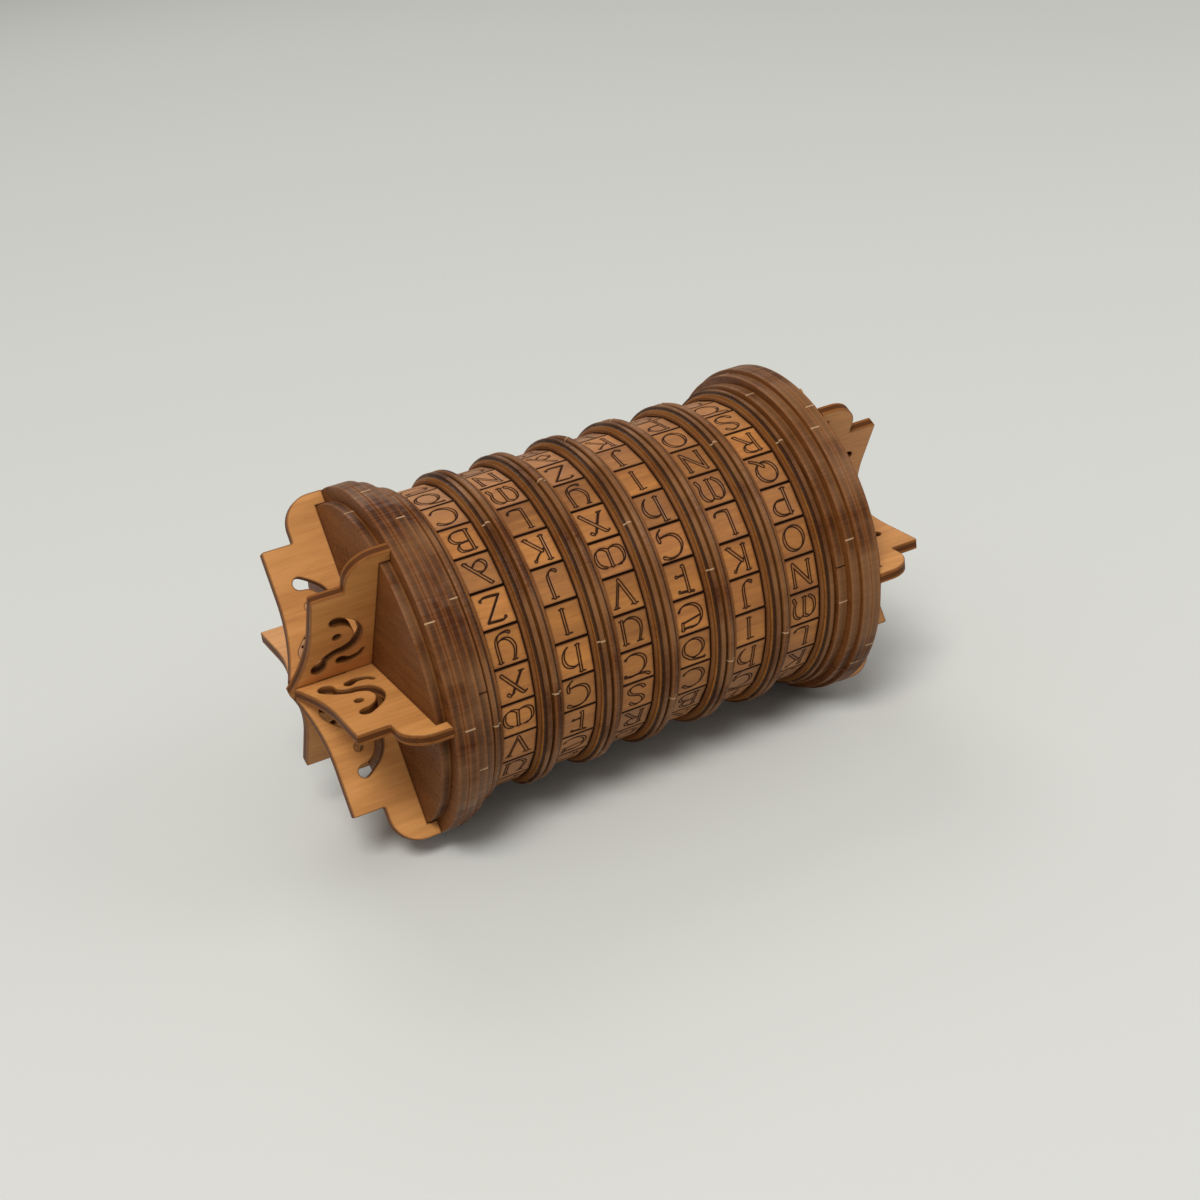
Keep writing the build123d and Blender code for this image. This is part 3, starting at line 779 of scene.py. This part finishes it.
def sheet_material(name, grain, edge, node, axis, mirror_at=None, pitch=None):
    """Bare plywood sheet: grain on its faces, layers on its edges. axis is the direction through the
    sheet. Sheets that are mirrored about a plane, or repeated at a pitch, share one material."""
    material, tree, shader, coordinate = new_material(name)
    low, high = (corner[axis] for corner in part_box(node))
    normal = tree.nodes["Texture Coordinate"].outputs["Normal"]
    through = add(tree, "ShaderNodeSeparateXYZ", {0: coordinate}).outputs[axis]
    if mirror_at is not None:
        through = math_node(tree, "ABSOLUTE", math_node(tree, "SUBTRACT", through, mirror_at))
        low, high = sorted((abs(low - mirror_at), abs(high - mirror_at)))
    through = math_node(tree, "SUBTRACT", through, low)
    if pitch is not None:
        through = math_node(tree, "FLOORED_MODULO", through, pitch)
    layer = math_node(tree, "DIVIDE", through, high - low)
    facing = add(tree, "ShaderNodeSeparateXYZ", {0: normal}).outputs[axis]
    inputs = {
        "Coordinate": coordinate if axis else crosswise(tree, coordinate),
        "Along": 14.0,
        "Across": 190.0,
        "Light": BIRCH,
        "Dark": BIRCH_DARK,
    }
    face = group_node(tree, grain, inputs)
    inputs = {
        "Coordinate": coordinate,
        "Layer": layer,
        "Wear_and_highlight": 0.0,
        "Veneer": EDGE_VENEER,
        "Core": EDGE_CORE,
        "Char": CHAR,
    }
    rim = group_node(tree, edge, inputs)
    on_edge = math_node(tree, "LESS_THAN", math_node(tree, "ABSOLUTE", facing), 0.5)
    tree.links.new(mix(tree, on_edge, face["Color"], rim["Color"]), shader.inputs["Base Color"])
    shader.inputs["Roughness"].default_value = 0.62
    shader.inputs["Specular IOR Level"].default_value = 0.3
    bump(tree, shader, face["Height"], 0.3, 0.00012)
    return material


# ---- camera, light and floor ----
def make_camera():
    """The camera looks at the front from the left and above, rolled a little, from 54 cm away."""
    right = Vector((0.87398, -0.47196, -0.11582))
    forward = Vector((0.38412, 0.81690, -0.43025))
    up = right.cross(forward)
    data = bpy.data.cameras.new("camera")
    data.sensor_width = 36
    data.lens = 56.12
    camera = bpy.data.objects.new("camera", data)
    camera.matrix_world = Matrix.Translation((-0.2059, -0.4432, 0.2794)) @ Matrix(
        (right, up, -forward)).transposed().to_4x4()
    bpy.context.scene.collection.objects.link(camera)
    bpy.context.scene.camera = camera


def soft_light(name, place_at, aim, size, power, colour):
    """A square soft light."""
    data = bpy.data.lights.new(name, "AREA")
    data.size, data.energy, data.color = size, power, colour
    lamp = bpy.data.objects.new(name, data)
    lamp.location = place_at
    lamp.rotation_euler = (Vector(aim) - Vector(place_at)).to_track_quat("-Z", "Y").to_euler()
    bpy.context.scene.collection.objects.link(lamp)


def make_studio():
    """A pale floor and soft light from above, in front and the left."""
    mesh = bpy.data.meshes.new("floor")
    reach = 9.0
    corners = [(-reach, -reach, 0), (reach, -reach, 0), (reach, reach, 0), (-reach, reach, 0)]
    mesh.from_pydata(corners, [], [(0, 1, 2, 3)])
    floor = bpy.data.objects.new("floor", mesh)
    bpy.context.scene.collection.objects.link(floor)
    material, tree, shader, coordinate = new_material("floor_paper")
    shader.inputs["Base Color"].default_value = (0.540, 0.548, 0.520, 1)
    shader.inputs["Roughness"].default_value = 0.9
    mesh.materials.append(material)
    world = bpy.data.worlds.new("studio")
    world.use_nodes = True
    world.node_tree.nodes["Background"].inputs[0].default_value = (1.0, 0.995, 0.98, 1)
    world.node_tree.nodes["Background"].inputs[1].default_value = 0.42
    bpy.context.scene.world = world
    aim = (0, 0, AXIS_Z)
    soft_light("key", (-0.95, -1.25, 2.3), aim, 1.1, 62.0, (1.0, 0.985, 0.96))
    soft_light("fill", (1.6, -0.9, 1.2), aim, 1.2, 9.0, (1.0, 1.0, 1.0))
    soft_light("back", (0.3, 1.9, 1.9), aim, 1.2, 14.0, (1.0, 0.99, 0.97))
    bpy.context.scene.view_settings.view_transform = "Standard"


# ---- fretwork ----
PLATE = 3.0 * MM
PEAK, CROWN, STEP_AT, SHOULDER = 24.0, 18.6, 38.0, 9.5  # heights and places on a plate, in millimetres
CROWN_FLAT, PLATE_REACH, SHOULDER_ROUND, HOOK_AT = 24.0, 50.0, 8.5, 46.2
SLOT_HALF = 2.65


def arc_points(cx, cy, radius, start, end, count):
    """Points on part of a circle."""
    t = np.radians(np.linspace(start, end, count))
    return np.stack([cx + radius * np.cos(t), cy + radius * np.sin(t)], 1)


def plate_outline(order):
    """The closed outline of one plate, in millimetres: out along the hollow crown, down the step, round
    the shoulder to the hook, back along the cap, then the same mirrored. One third of the height is
    left whole on the axis."""
    sweep = (CROWN_FLAT**2 + (PEAK - CROWN) ** 2) / (2 * (PEAK - CROWN))
    top_open, low_open = order < 2, order > 0
    start = SLOT_HALF if top_open else 0.0
    u = np.linspace(start, CROWN_FLAT, 26)
    crown = np.stack([u, CROWN + sweep - np.sqrt(sweep**2 - (CROWN_FLAT - u) ** 2)], 1)
    bend = PLATE_REACH - SHOULDER_ROUND
    half = [
        crown,
        arc_points(STEP_AT - 0.6, CROWN - 0.6, 0.6, 90, 0, 5),
        arc_points(STEP_AT + 0.6, SHOULDER + 0.6, 0.6, 180, 270, 5),
        arc_points(bend, SHOULDER - SHOULDER_ROUND, SHOULDER_ROUND, 90, 0, 16),
        [(PLATE_REACH, -PLATE / MM), (HOOK_AT, -PLATE / MM), (HOOK_AT, 0.02)],
    ]
    if top_open:
        half.insert(0, [(SLOT_HALF, PEAK * (order + 1) / 3)])
    if low_open:
        half += [[(SLOT_HALF, 0.02), (SLOT_HALF, PEAK * order / 3)]]
    half = np.vstack(half)
    mirrored = half[::-1] * (-1, 1)
    if not top_open:
        mirrored = mirrored[:-1]
    return np.vstack([half, mirrored])


def ribbon(path, widths):
    """The closed outline of a hole that follows a path: the path moved to each side by its half width,
    with round ends."""
    run = np.gradient(path, axis=0)
    run /= np.linalg.norm(run, axis=1, keepdims=True)
    side = np.stack([-run[:, 1], run[:, 0]], 1) * widths[:, None]
    ends = []
    for at, way, width in ((-1, 1, widths[-1]), (0, -1, widths[0])):
        t = np.radians(np.linspace(75, -75, 6))[:, None]
        ends.append(path[at] + way * (width * np.cos(t) * run[at] + np.sin(t) * side[at]))
    return np.vstack([path + side, ends[0], (path - side)[::-1], ends[1]])


def scroll_holes(sign):
    """The pierced ornament of one half: a wave that swells to a round eye at each end, a small comma
    beside it and a bead."""
    wave = curve(
        (8.4, 16.0), (11.4, 14.4), (13.4, 11.4), (14.0, 8.4), (16.0, 5.8), (19.8, 4.9),
        (23.4, 6.2), (25.8, 8.8), (27.0, 11.6),
    )[:, :2]
    t = np.linspace(0, 1, len(wave))
    wave_width = 1.15 + 0.95 * np.exp(-((t / 0.09) ** 2)) + 0.6 * np.exp(-(((1 - t) / 0.09) ** 2))
    wave_width += 0.35 * np.exp(-(((t - 0.42) / 0.14) ** 2))
    comma = curve((9.4, 9.6), (8.6, 7.4), (9.4, 4.6), (11.2, 3.2))[:, :2]
    comma_width = np.linspace(1.35, 0.4, len(comma))
    bead = arc_points(20.2, 11.0, 1.2, 0, 345, 24)
    holes = [ribbon(wave, wave_width), ribbon(comma, comma_width), bead]
    return [hole * (sign, 1) for hole in holes]


def signed_area(loop):
    """The area inside a closed outline, positive when it runs anticlockwise."""
    x, y = loop.T
    return 0.5 * np.sum(x * np.roll(y, -1) - np.roll(x, -1) * y)


def inset(loop, distance):
    """An outline moved towards its left by a distance, corner by corner."""
    before = loop - np.roll(loop, 1, axis=0)
    after = np.roll(loop, -1, axis=0) - loop
    before /= np.linalg.norm(before, axis=1, keepdims=True)
    after /= np.linalg.norm(after, axis=1, keepdims=True)
    bisector = np.stack([-(before + after)[:, 1], (before + after)[:, 0]], 1)
    bisector /= np.maximum(np.linalg.norm(bisector, axis=1, keepdims=True), 0.3)
    across = np.stack([-before[:, 1], before[:, 0]], 1)
    spread = np.clip((bisector * across).sum(1, keepdims=True), 0.6, 1)
    return loop + bisector * distance / spread


def fretwork_plate(side_name, order, material):
    """One pierced plate, drawn flat as (out from the axis, up from the cap, through the sheet) and stood
    up. Each cut edge is swept through six steps: a smoked margin of the top face, a small slope, the
    wall, the slope and the margin below. Triangles fill both faces inside the margins."""
    side = -1 if side_name == "left" else 1
    outline = plate_outline(order)
    loops = [outline if signed_area(outline) > 0 else outline[::-1]]
    for sign in (1, -1):
        loops += [hole if signed_area(hole) < 0 else hole[::-1] for hole in scroll_holes(sign)]
    ease, margin, half = 0.14, 0.5, PLATE / MM / 2
    levels = (half, half, half - ease, ease - half, -half, -half)
    points, faces, burn, wall, top, low = [], [], [], [], [], []
    count = 0
    for loop in loops:
        size = len(loop)
        border, slope = inset(loop, margin), inset(loop, ease)
        swept = np.vstack([border, slope, loop, loop, slope, border])
        points.append(np.column_stack([swept, np.repeat(levels, size)]))
        burn.append(np.repeat([0, 1, 1, 1, 1, 0], size))
        wall.append(np.repeat([0, 0, 1, 1, 0, 0], size))
        faces += (grid_faces(6, size, wrap_rows=False) + count).tolist()
        top.append(np.arange(size) + count)
        low.append(np.arange(size) + count + 5 * size)
        count += 6 * size
    points = np.vstack(points)
    filling = np.array(tessellate_polygon([[Vector(p) for p in points[part]] for part in top]))
    top, low = np.concatenate(top), np.concatenate(low)
    corners = points[top[filling], :2]
    first, second = corners[:, 1] - corners[:, 0], corners[:, 2] - corners[:, 0]
    clockwise = first[:, 0] * second[:, 1] < first[:, 1] * second[:, 0]
    filling[clockwise] = filling[clockwise, ::-1]
    faces += top[filling].tolist() + low[filling[:, ::-1]].tolist()
    if side < 0:
        faces = [face[::-1] for face in faces]
    angle = math.radians(PLATE_ANGLES[order])
    outwards = np.array((0, math.cos(angle), math.sin(angle)))
    through = np.array((0, -math.sin(angle), math.cos(angle)))
    u, v, w = points.T * MM
    cap_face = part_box("right_cap_disc_5")[1].x
    world = np.outer(u, outwards) + np.outer(w, through) + (0, 0, AXIS_Z)
    world[:, 0] = side * (cap_face + v)
    values = {
        "layer": points[:, 2] / (2 * half) + 0.5,
        "burn": np.concatenate(burn),
        "side": np.concatenate(wall),
    }
    return finish_piece(
        f"fretwork_{side_name}_{order + 1}", world, faces, values, "drawer" if side < 0 else "case",
        material, [f"{side_name}_fretwork_plate_{order + 1}"],
    )


# ---- the pieces ----
make_camera()
make_studio()
grain_group, edge_group = make_grain_group(), make_edge_group()
letter_veneer = letter_material(grain_group, edge_group)
ring_edge = turned_material(
    "scorched_ring_edge", grain_group, edge_group, RING_VENEER, RING_CORE, HONEY, HONEY_DARK
)
cap_edge = turned_material(
    "scorched_cap_edge", grain_group, edge_group, CAP_VENEER, CAP_CORE, CAP_FACE, CAP_FACE_DARK
)
fret_veneer = fret_material(grain_group, edge_group)


def flange_edge(x0, x1, radius, gap_side):
    """A flange's edge, from the gap between rings: a crest that rises in a quarter of an ellipse, a
    flat top with a small round, then a lower step against the letters."""
    t = np.linspace(0, math.pi / 2, 6)
    sine, cosine = np.sin(t), np.cos(t)
    low, width = radius - 0.85 * MM, x1 - x0
    rise = np.stack([0.95 * MM * (1 - cosine), radius - 1.3 * MM * (1 - sine)], 1)
    fall = np.stack([1.5 * MM + 0.25 * MM * sine, radius - 0.25 * MM * (1 - cosine)], 1)[::2]
    step = [(1.77 * MM, low + 0.1 * MM), (1.85 * MM, low)]
    ease = np.stack([width - EASE * (1 - sine), low - EASE * (1 - cosine)], 1)[::2]
    x, r = np.vstack([rise, fall, step, ease]).T
    if gap_side < 0:
        return list(zip(x0 + x, r))
    return list(zip(x1 - x, r))[::-1]


def disc_edge(x0, x1, radius):
    """A plain disc's edge with both corners eased."""
    t = np.linspace(0, math.pi / 2, 5)
    x, r = x0 + EASE * (1 - np.cos(t)), radius - EASE * (1 - np.sin(t))
    return list(zip(x, r)) + list(zip(x0 + x1 - x, r))[::-1]


tab_rng = np.random.default_rng(4)
for number, (groove_angle, letter) in enumerate(RING_TURNS, 1):
    letter_band(number, groove_angle, letter, letter_veneer)
    for side_name, gap_side in (("left", -1), ("right", 1)):
        node = f"ring_{number}_{side_name}_flange"
        x0, x1, radius = span(node)
        start = tab_rng.uniform(0, 120)
        turned(
            f"flange_{number}_{side_name}", x0, x1, flange_edge(x0, x1, radius, gap_side), 36.0 * MM,
            f"ring_{number}", ring_edge, node, [start + 120 * k for k in range(3)],
        )


def square_hole(half):
    """A function that gives the radius of a square hole's wall at each angle."""
    return lambda angles: half / np.maximum(np.abs(np.cos(angles)), np.abs(np.sin(angles)))


core_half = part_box("core_top_panel")[1].y
drawer_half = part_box("drawer_end_wall")[1].y
CAPS = (("left", "drawer", {1: drawer_half}), ("right", "case", {1: core_half, 2: core_half}))
for side_name, body, seats in CAPS:
    for layer in range(1, 6):
        node = f"{side_name}_cap_disc_{layer}"
        x0, x1, radius = span(node)
        bore = square_hole(seats[layer]) if layer in seats else 0
        start = tab_rng.uniform(0, 90)
        turned(
            f"cap_{side_name}_{layer}", x0, x1, disc_edge(x0, x1, radius), bore, body,
            cap_edge, node, [start + 90 * k for k in range(4)], INDEX_ANGLE if layer == 1 else None,
        )

for side_name in ("left", "right"):
    for order in range(3):
        fretwork_plate(side_name, order, fret_veneer)

ring_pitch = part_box("ring_2_gate")[0].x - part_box("ring_1_gate")[0].x
SHEETS = (
    ("gate_sheet", 0, {"pitch": ring_pitch}, [f"ring_{k}_gate" for k in range(1, 7)]),
    ("rib_sheet", 0, {"pitch": ring_pitch}, [f"guide_rib_{k}" for k in range(1, 8)]),
    ("core_level_sheet", 2, {"mirror_at": AXIS_Z}, ["core_top_panel", "core_bottom_panel"]),
    ("core_upright_sheet", 1, {"mirror_at": 0.0}, ["core_front_panel", "core_back_panel"]),
    ("drawer_upright_sheet", 1, {"mirror_at": 0.0}, ["drawer_front_wall", "drawer_back_wall"]),
    ("drawer_level_sheet", 2, {}, ["drawer_floor"]),
    ("drawer_end_sheet", 0, {}, ["drawer_end_wall"]),
    ("key_rail_sheet", 1, {}, ["key_rail"]),
    ("key_tooth_sheet", 0, {"pitch": ring_pitch}, ["key_teeth"]),
)
for name, axis, repeat, nodes in SHEETS:
    made = sheet_material(name, grain_group, edge_group, nodes[0], axis, **repeat)
    for node in nodes:
        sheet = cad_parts[node]
        sheet.data.materials.clear()
        sheet.data.materials.append(made)
        if not name.startswith(("gate", "rib")):
            eased = sheet.modifiers.new("eased", "BEVEL")
            eased.width = 0.15 * MM
            eased.segments = 2
